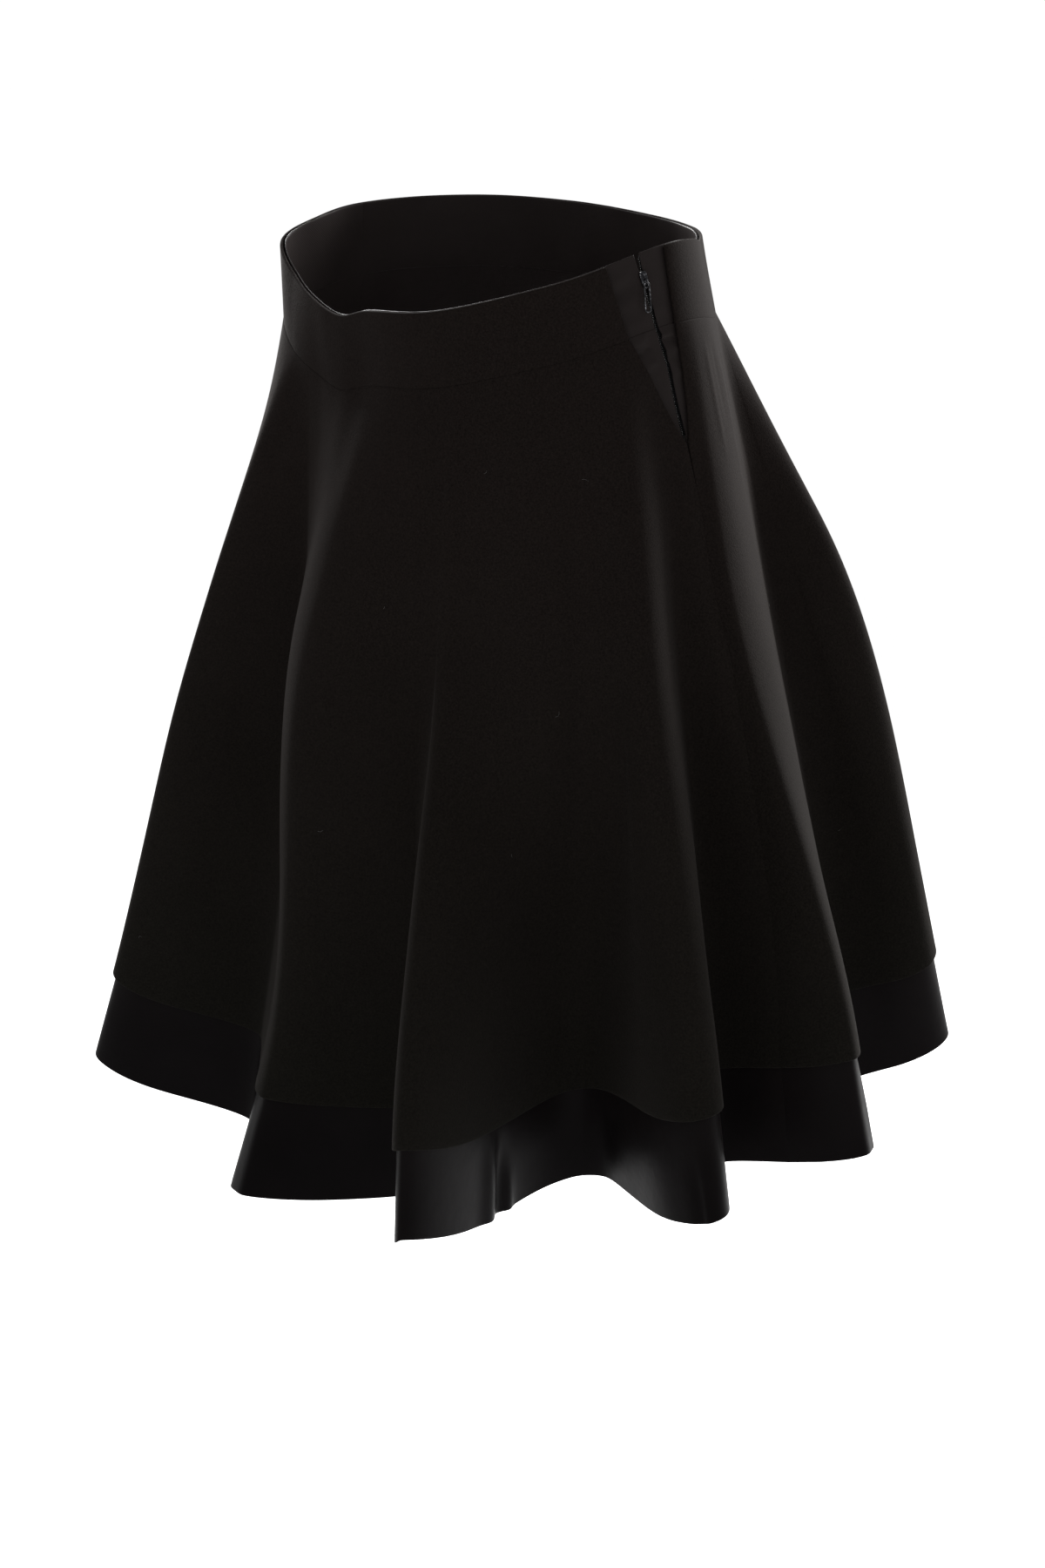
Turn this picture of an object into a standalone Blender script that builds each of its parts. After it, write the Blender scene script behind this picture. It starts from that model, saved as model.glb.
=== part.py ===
"""Flared knee-length skirt in two layers, open at the waist and the hem.

Metres, +Z up, the wearer faces -Y and the wearer's left side is +X.
The origin is the middle of the waist loop, half way down the waistband,
which is where the wearer holds the skirt up.
"""
import math

import bmesh
import bpy
from mathutils import Matrix, Vector

for old in list(bpy.data.objects):
    bpy.data.objects.remove(old, do_unlink=True)

# Lengths along the cloth
BAND_DEPTH = 0.0435
WOOL_LENGTH = 0.429
SATIN_LENGTH = 0.488
# Height of the table's zero above the origin, half the waistband
TABLE_RISE = 0.022

# Walls and the gaps between them
BAND_WALL = 0.0020
WOOL_WALL = 0.0016
SATIN_WALL = 0.0010
TAPE_WALL = 0.0010
LAYER_GAP = 0.0009
TAPE_GAP = 0.0006
SEAM_GAP = 0.0004
UNDERSKIRT_START = 0.0008

# Waist loop: angle from +X in degrees, radius of the top edge,
# radius of the waist seam, height of the top edge in the table
WAIST = (
    (-165, 0.1430, 0.1435, -0.006),
    (-150, 0.1450, 0.1430, -0.014),
    (-135, 0.1262, 0.1280, -0.029),
    (-120, 0.1138, 0.1125, -0.0375),
    (-105, 0.1075, 0.1065, -0.0405),
    (-90, 0.1068, 0.1035, -0.0335),
    (-60, 0.1204, 0.1170, -0.025),
    (-30, 0.1380, 0.1395, -0.006),
    (0, 0.1410, 0.1475, 0.0125),
    (30, 0.1165, 0.1265, 0.0015),
    (60, 0.1112, 0.1160, -0.0013),
    (90, 0.1051, 0.1100, -0.001),
    (120, 0.1117, 0.1155, 0.000),
    (150, 0.1290, 0.1310, 0.000),
    (180, 0.1426, 0.1433, -0.002),
)

# One row for each fold, in degrees and metres: crest angle, half width,
# radius at the hem, at the thigh and at the hip, then the valley after it
FOLDS = (
    (-137.5, 4.5, 0.257, 0.219, 0.175, -124.0, 5.5, 0.158, 0.136, 0.122),
    (-89.0, 3.0, 0.195, 0.171, 0.147, -60.6, 4.0, 0.151, 0.153, 0.140),
    (-52.6, 3.0, 0.268, 0.209, 0.1415, -28.0, 7.2, 0.166, 0.172, 0.163),
    (-16.5, 3.5, 0.278, 0.229, 0.181, -5.5, 2.6, 0.208, 0.184, 0.160),
    (5.0, 2.6, 0.280, 0.225, 0.172, 35.5, 3.6, 0.206, 0.183, 0.152),
    (45.6, 5.6, 0.267, 0.236, 0.184, 71.0, 4.0, 0.195, 0.188, 0.168),
    (90.0, 3.5, 0.262, 0.225, 0.178, 106.0, 3.2, 0.198, 0.186, 0.158),
    (122.0, 4.0, 0.272, 0.232, 0.176, 138.5, 3.0, 0.206, 0.190, 0.158),
    (155.0, 3.4, 0.259, 0.222, 0.171, 170.5, 3.4, 0.194, 0.185, 0.158),
    (186.5, 4.0, 0.266, 0.221, 0.172, 202.0, 3.0, 0.188, 0.175, 0.153),
)
HIP_SHARE = 0.30
THIGH_SHARE = 0.65
# How far the folds are a soft wave at the hip and thigh: 1 is wholly soft
HIP_SOFTNESS = 1.0
THIGH_SOFTNESS = 0.3

# The opening at the wearer's left: distance down the cloth from the top
# edge, then the angle of the front wool edge, the zip and the back wool edge
OPENING = (
    (0.000, -17.6, -9.8, -2.7),
    (0.0435, -12.8, -5.5, -1.1),
    (0.066, -8.6, -3.0, -0.2),
    (0.090, -4.4, -1.6, 0.2),
    (0.112, -0.4, -0.2, 0.0),
    (0.150, 1.4, 1.4, 1.4),
    (0.235, 2.4, 2.4, 2.4),
    (0.345, 1.0, 1.0, 1.0),
    (0.4725, 0.0, 0.0, 0.0),
    (0.5400, 0.0, 0.0, 0.0),
)
OPENING_END = 0.112
RIGHT_SEAM = 180.0
# Half the slot between the satin edges beside the zip
ZIP_SLOT = 0.0011
TAPE_WIDTH = 0.011

# Columns of the panels are eased towards an opening edge from here
EASE_FRONT = -30.0
EASE_BACK = 28.0
NOMINAL_SEAM = 1.5

# Rows of the panels as shares of the wool length
PANEL_ROWS = (0.0, 0.055, 0.11, 0.16, 0.24, 0.34, 0.46, 0.58, 0.70, 0.80, 0.90, 1.0)
HEM_ROWS = (1.045, 1.09)
BAND_ROWS = (0.0, 0.5, 1.0)
# Samples round the loop for each corner of a fold, closer beside the opening
CORNER_SAMPLES = (0.0, 0.5)
CLOSE_SAMPLES = (0.0, 0.25, 0.5, 0.75)

# Slider and pull, in the slider's own frame: x across, y up, z out
SLIDER_DOWN = 0.0150
SLIDER_LENGTH = 0.0096
SLIDER_WIDTH = 0.0052
SLIDER_THICK = 0.0014
SLIDER_LIFT = 0.0003
NECK_WIDTH = 0.0012
NECK_DEPTH = 0.0010
BRIDGE_DROP = 0.0016
BRIDGE_REACH = 0.0020
BRIDGE_RISE = 0.0021
BRIDGE_WIRE = 0.0004
PIVOT_DROP = 0.0003
PIVOT_RISE = 0.00085
PULL_WIRE = 0.00045
PULL_LENGTH = 0.0158
PULL_TOP_HALF = 0.0015
PULL_LOW_HALF = 0.0018

FRONT = "front"
BACK = "back"


def material(name, colour, roughness, metallic):
    """One plain surface for each kind of stuff."""
    made = bpy.data.materials.new(name)
    made.use_nodes = True
    shader = made.node_tree.nodes["Principled BSDF"]
    shader.inputs["Base Color"].default_value = (*colour, 1.0)
    shader.inputs["Roughness"].default_value = roughness
    shader.inputs["Metallic"].default_value = metallic
    made.diffuse_color = (*colour, 1.0)
    return made


WOOL = material("wool_black", (0.014, 0.013, 0.013), 0.95, 0.0)
SATIN = material("satin_black", (0.016, 0.015, 0.018), 0.32, 0.0)
TAPE = material("zip_tape_black", (0.012, 0.012, 0.013), 0.85, 0.0)
METAL = material("gunmetal", (0.20, 0.20, 0.21), 0.30, 1.0)


def spline(rows, at, column):
    """Smooth value between rows that go once round the circle."""
    count = len(rows)
    turn = 360.0
    start = rows[0][0]
    place = (at - start) % turn + start
    low = count - 1
    for index in range(count - 1):
        if place < rows[index + 1][0]:
            low = index
            break
    x, y = [], []
    for step in range(-1, 3):
        index = low + step
        x.append(rows[index % count][0] + turn * (index // count))
        y.append(rows[index % count][column])
    width = x[2] - x[1]
    share = (place - x[1]) / width
    rise_a = (y[2] - y[0]) / (x[2] - x[0]) * width
    rise_b = (y[3] - y[1]) / (x[3] - x[1]) * width
    square, cube = share**2, share**3
    return (
        (2 * cube - 3 * square + 1) * y[1]
        + (cube - 2 * square + share) * rise_a
        + (3 * square - 2 * cube) * y[2]
        + (cube - square) * rise_b
    )


def opening(down, column):
    """Angle of an opening edge at a distance down the cloth."""
    for upper, lower in zip(OPENING, OPENING[1:]):
        if down <= lower[0]:
            share = (down - upper[0]) / (lower[0] - upper[0])
            return upper[column] + share * (lower[column] - upper[column])
    return OPENING[-1][column]


def radius_rows(crest_column, valley_column):
    """Angle and radius of each crest and valley of one level, in order."""
    rows = []
    for fold in FOLDS:
        rows.append((fold[0], fold[crest_column]))
        rows.append((fold[5], fold[valley_column]))
    rows.append((rows[0][0] + 360.0, rows[0][1]))
    return rows


def wave_radius(rows, angle):
    """Radius that goes softly from each crest to the valley beside it."""
    place = (angle - rows[0][0]) % 360.0 + rows[0][0]
    for upper, lower in zip(rows, rows[1:]):
        if place <= lower[0]:
            share = (place - upper[0]) / (lower[0] - upper[0])
            return upper[1] + (lower[1] - upper[1]) * share * share * (3 - 2 * share)
    return rows[-1][1]


def corner_points(crest_column, valley_column):
    """Corners of one level's loop: both sides of each crest and valley."""
    corners = []
    for fold in FOLDS:
        for centre, half, radius in (
            (fold[0], fold[1], fold[crest_column]),
            (fold[5], fold[6], fold[valley_column]),
        ):
            for side in (-1, 1):
                turn = math.radians(centre + side * half)
                corners.append(Vector((math.cos(turn), math.sin(turn))) * radius)
    return corners


HEM = corner_points(2, 7)
THIGH = corner_points(3, 8)
HIP = corner_points(4, 9)
THIGH_ROWS = radius_rows(3, 8)
HIP_ROWS = radius_rows(4, 9)
CORNERS = len(HEM)


def loop_point(corners, place):
    """Rounded loop: a curve from one edge's middle to the next one's."""
    index = math.floor(place)
    share = place - index
    before = corners[(index - 1) % CORNERS]
    here = corners[index % CORNERS]
    after = corners[(index + 1) % CORNERS]
    first = (before + here) * 0.5
    last = (here + after) * 0.5
    return first * (1 - share) ** 2 + here * (2 * share * (1 - share)) + last * share**2


def angle_at(place):
    """Angle in degrees of a place on the hem, growing all the way round."""
    point = loop_point(HEM, place)
    turn = math.degrees(math.atan2(point.y, point.x))
    lap = math.floor(place / CORNERS)
    middle = FOLDS[0][0] + 360.0 * (place / CORNERS - lap)
    return turn + 360.0 * (round((middle - turn) / 360.0) + lap)


def soft_point(corners, rows, softness, place):
    """A level above the hem, between its rounded corners and a soft wave."""
    point = loop_point(corners, place)
    angle = math.degrees(math.atan2(point.y, point.x))
    wave = wave_radius(rows, angle) / point.length
    return point * (1 + softness * (wave - 1))


def place_at(angle):
    """The place on the hem loop at an angle, the inverse of angle_at."""
    low, high = -CORNERS, 2.0 * CORNERS
    for _ in range(40):
        middle = (low + high) / 2
        if angle_at(middle) < angle:
            low = middle
        else:
            high = middle
    return (low + high) / 2


def through_levels(share):
    """Weights of seam, hip, thigh and hem: straight to the hip, then smooth."""
    below = max(share - HIP_SHARE, 0.0)
    thigh = THIGH_SHARE - HIP_SHARE
    hem = 1.0 - HIP_SHARE
    to_thigh = below**2 * (below - hem) / (thigh**2 * (thigh - hem))
    to_hem = below**2 * (below - thigh) / (hem**2 * (hem - thigh))
    slope = below * (below - thigh) * (below - hem) / (thigh * hem)
    lean = (min(share - HIP_SHARE, 0.0) + slope) / HIP_SHARE
    return (-lean, 1.0 + lean - to_thigh - to_hem, to_thigh, to_hem)


def band_point(place, down):
    """A point on the outside of the waistband."""
    angle = angle_at(place)
    turn = math.radians(angle)
    share = down / BAND_DEPTH
    top = spline(WAIST, angle, 1)
    seam = spline(WAIST, angle, 2)
    radius = top + (seam - top) * share
    height = spline(WAIST, angle, 3) + TABLE_RISE - down
    return Vector((radius * math.cos(turn), radius * math.sin(turn), height))


def panel_point(place, down):
    """A point on the outside of the wool, or below its hem on its line."""
    share = (down - BAND_DEPTH) / WOOL_LENGTH
    seam = band_point(place, BAND_DEPTH)
    ring = Vector((seam.x, seam.y))
    levels = (
        ring,
        soft_point(HIP, HIP_ROWS, HIP_SOFTNESS, place),
        soft_point(THIGH, THIGH_ROWS, THIGH_SOFTNESS, place),
        loop_point(HEM, place),
    )
    steps = (HIP_SHARE, THIGH_SHARE - HIP_SHARE, 1.0 - THIGH_SHARE)
    sideways = 0.0
    for upper, lower, step in zip(levels, levels[1:], steps):
        sideways += (lower - upper).length_squared / step
    fall = math.sqrt(WOOL_LENGTH**2 - sideways)
    flat = Vector((0.0, 0.0))
    for weight, level in zip(through_levels(min(share, 1.0)), levels):
        flat += level * weight
    if share > 1.0:
        near = 0.999
        before = Vector((0.0, 0.0))
        for weight, level in zip(through_levels(near), levels):
            before += level * weight
        flat += (levels[3] - before) * ((share - 1.0) / (1.0 - near))
    return Vector((flat.x, flat.y, seam.z - fall * share))


def outward(surface, place, down, low, high):
    """Normal of a surface, leaning away from the body."""
    side = 0.03
    along = 0.0008
    across = surface(place + side, down) - surface(place - side, down)
    upper = max(low, down - along)
    lower = min(high, down + along)
    up = surface(place, upper) - surface(place, lower)
    return across.cross(up).normalized()


def link(name, build, stuff):
    """Store a finished solid under its node's name."""
    bmesh.ops.recalc_face_normals(build, faces=build.faces)
    mesh = bpy.data.meshes.new(name)
    build.to_mesh(mesh)
    build.free()
    mesh.materials.append(stuff)
    made = bpy.data.objects.new(name, mesh)
    bpy.context.collection.objects.link(made)
    return made


def wall(name, surface, places, downs, depth, thick, stuff):
    """Closed cloth wall between two faces of one surface.

    places(down) gives the places round the loop for one row.
    """
    build = bmesh.new()
    low, high = downs[0], downs[-1]
    faces = ([], [])
    for down in downs:
        rows = ([], [])
        for place in places(down):
            point = surface(place, down)
            normal = outward(surface, place, down, low, high)
            rows[0].append(build.verts.new(point - normal * depth))
            rows[1].append(build.verts.new(point - normal * (depth + thick)))
        faces[0].append(rows[0])
        faces[1].append(rows[1])
    for grid in faces:
        for upper, lower in zip(grid, grid[1:]):
            for index in range(len(upper) - 1):
                # The same diagonal in each layer, so that no two layers cross
                corner = (upper[index], lower[index + 1])
                build.faces.new((corner[0], upper[index + 1], corner[1]))
                build.faces.new((corner[0], corner[1], lower[index]))
    outer, inner = faces
    rims = (
        (outer[0], inner[0]),
        (outer[-1], inner[-1]),
        ([row[0] for row in outer], [row[0] for row in inner]),
        ([row[-1] for row in outer], [row[-1] for row in inner]),
    )
    for near, far in rims:
        for index in range(len(near) - 1):
            build.faces.new((near[index], near[index + 1], far[index + 1], far[index]))
    return link(name, build, stuff)


def degrees_of(width, down):
    """Angle that a small width takes at a distance down the cloth."""
    radius = spline(WAIST, 0.0, 2)
    if down > BAND_DEPTH:
        share = (down - BAND_DEPTH) / WOOL_LENGTH
        radius += 0.11 * min(share, 1.0)
    return math.degrees(width / radius)


FRONT_START = place_at(-RIGHT_SEAM)
BACK_END = place_at(RIGHT_SEAM)
SEAM_PLACE = place_at(NOMINAL_SEAM)


def columns(half, column, spare):
    """Places round one half, eased so that the last lies on its edge.

    column picks the edge from OPENING and spare is the free width beside it.
    """
    start = FRONT_START if half == FRONT else SEAM_PLACE
    end = SEAM_PLACE if half == FRONT else BACK_END
    inner = []
    for corner in range(-2 * CORNERS, 2 * CORNERS):
        close = EASE_FRONT < angle_at(corner) < EASE_BACK
        for share in CLOSE_SAMPLES if close else CORNER_SAMPLES:
            place = corner + share
            if start + 0.2 < place < end - 0.2:
                inner.append(place)
    base = [start] + inner + [end]
    ease = place_at(EASE_FRONT if half == FRONT else EASE_BACK)

    def at(down):
        side = -1 if half == FRONT else 1
        free = spare if down < OPENING_END - 0.001 else SEAM_GAP / 2
        angle = opening(down, column) + side * degrees_of(free, down)
        edge = place_at(angle)
        right = place_at(-side * -RIGHT_SEAM + side * -degrees_of(SEAM_GAP / 2, down))
        placed = []
        for place in base:
            between = (place - ease) / (SEAM_PLACE - ease)
            if between > 0:
                place = ease + (edge - ease) * between
            placed.append(place)
        placed[0 if half == FRONT else -1] = right
        return placed

    return at


def panel_downs(shares, start):
    """Distances down the cloth of a panel's rows."""
    downs = [BAND_DEPTH + share * WOOL_LENGTH for share in shares]
    downs[0] += start
    return downs


def band_downs():
    """Distances down the cloth of a waistband's rows."""
    downs = [share * BAND_DEPTH for share in BAND_ROWS]
    downs[-1] -= SEAM_GAP / 2
    return downs


FRONT_EDGE, ZIP_LINE, BACK_EDGE = 1, 2, 3
satin_shares = PANEL_ROWS + HEM_ROWS + (SATIN_LENGTH / WOOL_LENGTH,)

# Wool waistband and wool panels
for half, edge in ((FRONT, FRONT_EDGE), (BACK, BACK_EDGE)):
    round_loop = columns(half, edge, SEAM_GAP / 2)
    wall("band_" + half, band_point, round_loop, band_downs(), 0.0, BAND_WALL, WOOL)
    wall(
        half + "_panel",
        panel_point,
        round_loop,
        panel_downs(PANEL_ROWS, SEAM_GAP / 2),
        0.0,
        WOOL_WALL,
        WOOL,
    )

# Satin band and the longer satin underskirt, up to the zip on both sides
for half in (FRONT, BACK):
    round_loop = columns(half, ZIP_LINE, ZIP_SLOT)
    wall(
        "satin_band_" + half,
        band_point,
        round_loop,
        band_downs(),
        BAND_WALL + LAYER_GAP,
        SATIN_WALL,
        SATIN,
    )
    wall(
        "underskirt_" + half,
        panel_point,
        round_loop,
        panel_downs(satin_shares, UNDERSKIRT_START),
        WOOL_WALL + LAYER_GAP,
        SATIN_WALL,
        SATIN,
    )


def zip_point(place, down):
    """The cloth's surface with the waist seam's bend taken out."""
    reach = 0.006
    if down <= BAND_DEPTH - reach:
        return band_point(place, down)
    if down >= BAND_DEPTH + reach:
        return panel_point(place, down)
    upper = band_point(place, BAND_DEPTH - reach)
    lower = panel_point(place, BAND_DEPTH + reach)
    share = (down - BAND_DEPTH + reach) / (2 * reach)
    return upper.lerp(lower, share)


# Zip tapes, one behind each satin edge
TAPE_DOWNS = (0.002, 0.020, 0.0375, 0.0495, 0.066, 0.090, 0.108)
for half, side in ((FRONT, -1), (BACK, 1)):

    def tape_places(down, side=side):
        middle = opening(down, ZIP_LINE)
        placed = []
        for width in (ZIP_SLOT * 0.4, TAPE_WIDTH / 2, TAPE_WIDTH):
            placed.append(place_at(middle + side * degrees_of(width, down)))
        return placed if side > 0 else placed[::-1]

    wall(
        "zip_tape_" + half,
        zip_point,
        tape_places,
        TAPE_DOWNS,
        BAND_WALL + LAYER_GAP + SATIN_WALL + TAPE_GAP,
        TAPE_WALL,
        TAPE,
    )


def frame_at(down, follow_zip):
    """Local frame on the satin: x across, y up, z out of the cloth."""
    place = place_at(opening(down, ZIP_LINE))
    normal = outward(band_point, place, down, 0.0, BAND_DEPTH)
    reach = 0.004
    above, below = place, place
    if follow_zip:
        above = place_at(opening(down - reach, ZIP_LINE))
        below = place_at(opening(down + reach, ZIP_LINE))
    up = band_point(above, down - reach) - band_point(below, down + reach)
    up = (up - normal * up.dot(normal)).normalized()
    across = up.cross(normal)
    base = band_point(place, down) - normal * (BAND_WALL + LAYER_GAP)
    turn = Matrix((across, up, normal)).transposed()
    return Matrix.Translation(base) @ turn.to_4x4()


def tube(build, points, radius, sides, closed):
    """Round wire along points that lie in one plane."""
    rings = []
    count = len(points)
    plane = (points[1] - points[0]).cross(points[count // 2] - points[0]).normalized()
    for index, point in enumerate(points):
        before = points[index - 1] if closed or index else point
        after = points[(index + 1) % count] if closed or index < count - 1 else point
        way = (after - before).normalized()
        out = way.cross(plane)
        ring = []
        for step in range(sides):
            turn = 2 * math.pi * step / sides
            ring.append(
                build.verts.new(point + (out * math.cos(turn) + plane * math.sin(turn)) * radius)
            )
        rings.append(ring)
    pairs = list(zip(rings, rings[1:]))
    if closed:
        pairs.append((rings[-1], rings[0]))
    else:
        build.faces.new(rings[0])
        build.faces.new(rings[-1])
    for first, second in pairs:
        for step in range(sides):
            following = (step + 1) % sides
            build.faces.new(
                (first[step], first[following], second[following], second[step])
            )


def box(name, size, centre):
    """A block with lightly rounded edges, in the slider's frame."""
    build = bmesh.new()
    bmesh.ops.create_cube(build, size=1.0)
    bmesh.ops.scale(build, vec=size, verts=build.verts)
    bmesh.ops.bevel(
        build,
        geom=build.edges,
        offset=min(size) * 0.22,
        segments=2,
        affect="EDGES",
        profile=0.5,
    )
    bmesh.ops.translate(build, vec=centre, verts=build.verts)
    return link(name, build, METAL)


def join(target, other):
    """Unite two solids and drop the second."""
    change = target.modifiers.new("unite", "BOOLEAN")
    change.operation = "UNION"
    change.solver = "EXACT"
    change.object = other
    bpy.context.view_layer.update()
    graph = bpy.context.evaluated_depsgraph_get()
    united = bpy.data.meshes.new_from_object(target.evaluated_get(graph))
    target.modifiers.clear()
    target.data = united
    bpy.data.objects.remove(other, do_unlink=True)


# Slider: a plate on the satin, its neck in the slot and a wire bridge
PLATE_TOP = SLIDER_LIFT + SLIDER_THICK
slider = box(
    "zip_slider",
    Vector((SLIDER_WIDTH, SLIDER_LENGTH, SLIDER_THICK)),
    Vector((0, 0, SLIDER_LIFT + SLIDER_THICK / 2)),
)
neck = box(
    "neck",
    Vector((NECK_WIDTH, SLIDER_LENGTH * 0.6, NECK_DEPTH + SLIDER_THICK / 2)),
    Vector((0, 0, SLIDER_LIFT - NECK_DEPTH / 2 + SLIDER_THICK / 4)),
)
join(slider, neck)
bridge_build = bmesh.new()
bridge_points = []
BRIDGE_STEPS = 10
for step in range(BRIDGE_STEPS + 1):
    turn = math.pi * step / BRIDGE_STEPS
    bridge_points.append(
        Vector(
            (
                0,
                -BRIDGE_DROP - BRIDGE_REACH * math.cos(turn),
                PLATE_TOP + BRIDGE_RISE * math.sin(turn),
            )
        )
    )
bridge_points.insert(0, bridge_points[0] - Vector((0, 0, SLIDER_THICK / 2)))
bridge_points.append(bridge_points[-1] - Vector((0, 0, SLIDER_THICK / 2)))
tube(bridge_build, bridge_points, BRIDGE_WIRE, 8, False)
bridge = link("bridge", bridge_build, METAL)
join(slider, bridge)
slider_frame = frame_at(SLIDER_DOWN, True)
slider.matrix_world = slider_frame

# Pull: a drop-shaped wire loop whose straight top passes under the bridge
pull_frame = frame_at(SLIDER_DOWN, False)
pivot = Vector((0, -BRIDGE_DROP - PIVOT_DROP, PLATE_TOP + PIVOT_RISE))
drop = [
    Vector((-PULL_TOP_HALF * 0.6, 0, 0)),
    Vector((PULL_TOP_HALF * 0.6, 0, 0)),
    Vector((PULL_TOP_HALF * 0.95, -0.0004, 0)),
]
SIDE_STEPS = 5
for step in range(SIDE_STEPS):
    share = step / (SIDE_STEPS - 1)
    half = PULL_TOP_HALF + (PULL_LOW_HALF - PULL_TOP_HALF) * share
    drop.append(Vector((half, -0.0012 - share * (PULL_LENGTH - 0.0012 - PULL_LOW_HALF), 0)))
BOTTOM_STEPS = 8
for step in range(1, BOTTOM_STEPS):
    turn = math.pi * step / BOTTOM_STEPS
    drop.append(
        Vector(
            (
                PULL_LOW_HALF * math.cos(turn),
                -(PULL_LENGTH - PULL_LOW_HALF) - PULL_LOW_HALF * math.sin(turn),
                0,
            )
        )
    )
for step in reversed(range(SIDE_STEPS)):
    share = step / (SIDE_STEPS - 1)
    half = PULL_TOP_HALF + (PULL_LOW_HALF - PULL_TOP_HALF) * share
    drop.append(Vector((-half, -0.0012 - share * (PULL_LENGTH - 0.0012 - PULL_LOW_HALF), 0)))
drop.append(Vector((-PULL_TOP_HALF * 0.95, -0.0004, 0)))
pull_build = bmesh.new()
tube(pull_build, drop, PULL_WIRE, 8, True)
pull = link("zip_pull", pull_build, METAL)
pull.matrix_world = Matrix.Translation(slider_frame @ pivot) @ pull_frame.to_3x3().to_4x4()
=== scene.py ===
"""Looks of the flared skirt: fine cloth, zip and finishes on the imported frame.

Metres, +Z up, the wearer faces -Y and the wearer's left side is +X.
The cloth lies on the solids' own surface, worked out again here from the
same named sizes, with closer rows, rounded edges, seams and soft creases.
"""
import math
import random

import bmesh
import bpy
import numpy as np
from mathutils import Matrix, Vector


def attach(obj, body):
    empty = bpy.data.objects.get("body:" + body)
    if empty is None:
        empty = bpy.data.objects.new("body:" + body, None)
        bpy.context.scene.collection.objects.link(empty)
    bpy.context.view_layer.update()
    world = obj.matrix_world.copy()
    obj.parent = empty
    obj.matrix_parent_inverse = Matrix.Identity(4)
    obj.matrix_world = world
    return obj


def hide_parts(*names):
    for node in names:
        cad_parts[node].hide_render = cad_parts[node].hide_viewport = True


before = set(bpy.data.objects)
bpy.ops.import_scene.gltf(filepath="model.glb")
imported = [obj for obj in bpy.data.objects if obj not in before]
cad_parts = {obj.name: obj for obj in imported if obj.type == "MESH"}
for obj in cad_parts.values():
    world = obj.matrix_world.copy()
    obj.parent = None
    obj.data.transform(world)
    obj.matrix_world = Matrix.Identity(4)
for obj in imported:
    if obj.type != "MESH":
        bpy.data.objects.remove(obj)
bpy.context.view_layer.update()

# Camera: how far round from the wearer's front to the left it stands, how
# far away, how far to its own right, how high, how much it looks down
CAMERA_TURN = 50.0
CAMERA_FAR = 1.9
CAMERA_SIDE = 0.0082
CAMERA_HEIGHT = 0.357
CAMERA_DOWN = 19.6
CAMERA_LENS = 75.16
CAMERA_SENSOR = 36.0

# Floor as far below the waist as it is for someone standing
FLOOR_HEIGHT = -1.06
FLOOR_RADIUS = 9.0
FLOOR_SEGMENTS = 96
FLOOR_COLOUR = (0.95, 0.95, 0.95)

# Softboxes: turn round from the camera's side, how far and how high they
# stand, their size, watts and the height on the skirt that they are aimed at
SOFTBOXES = (
    ("left_softbox", -152.0, 0.8, 0.25, (0.3, 0.4), 30.0, 0.0),
    ("right_softbox", 130.0, 1.4, 0.42, (0.5, 0.8), 82.0, -0.05),
)
WORLD_STRENGTH = 1.06

# Lengths along the cloth
BAND_DEPTH = 0.0435
WOOL_LENGTH = 0.429
SATIN_LENGTH = 0.488
TABLE_RISE = 0.022

# Walls and the gaps between them
BAND_WALL = 0.0020
WOOL_WALL = 0.0016
SATIN_WALL = 0.0010
TAPE_WALL = 0.0010
LAYER_GAP = 0.0009
TAPE_GAP = 0.0006
# How far two sewn pieces run into each other, and how far from the waist
# seam the cloth turns from one side's lie to the other's
SEAM_LAP = 0.00025
SEAM_REACH = 0.006

# Waist loop: angle from +X in degrees, radius of the top edge,
# radius of the waist seam, height of the top edge in the table
WAIST = (
    (-165, 0.1430, 0.1435, -0.006),
    (-150, 0.1450, 0.1430, -0.014),
    (-135, 0.1262, 0.1280, -0.029),
    (-120, 0.1138, 0.1125, -0.0375),
    (-105, 0.1075, 0.1065, -0.0405),
    (-90, 0.1068, 0.1035, -0.0335),
    (-60, 0.1204, 0.1170, -0.025),
    (-30, 0.1380, 0.1395, -0.006),
    (0, 0.1410, 0.1475, 0.0125),
    (30, 0.1165, 0.1265, 0.0015),
    (60, 0.1112, 0.1160, -0.0013),
    (90, 0.1051, 0.1100, -0.001),
    (120, 0.1117, 0.1155, 0.000),
    (150, 0.1290, 0.1310, 0.000),
    (180, 0.1426, 0.1433, -0.002),
)

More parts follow.
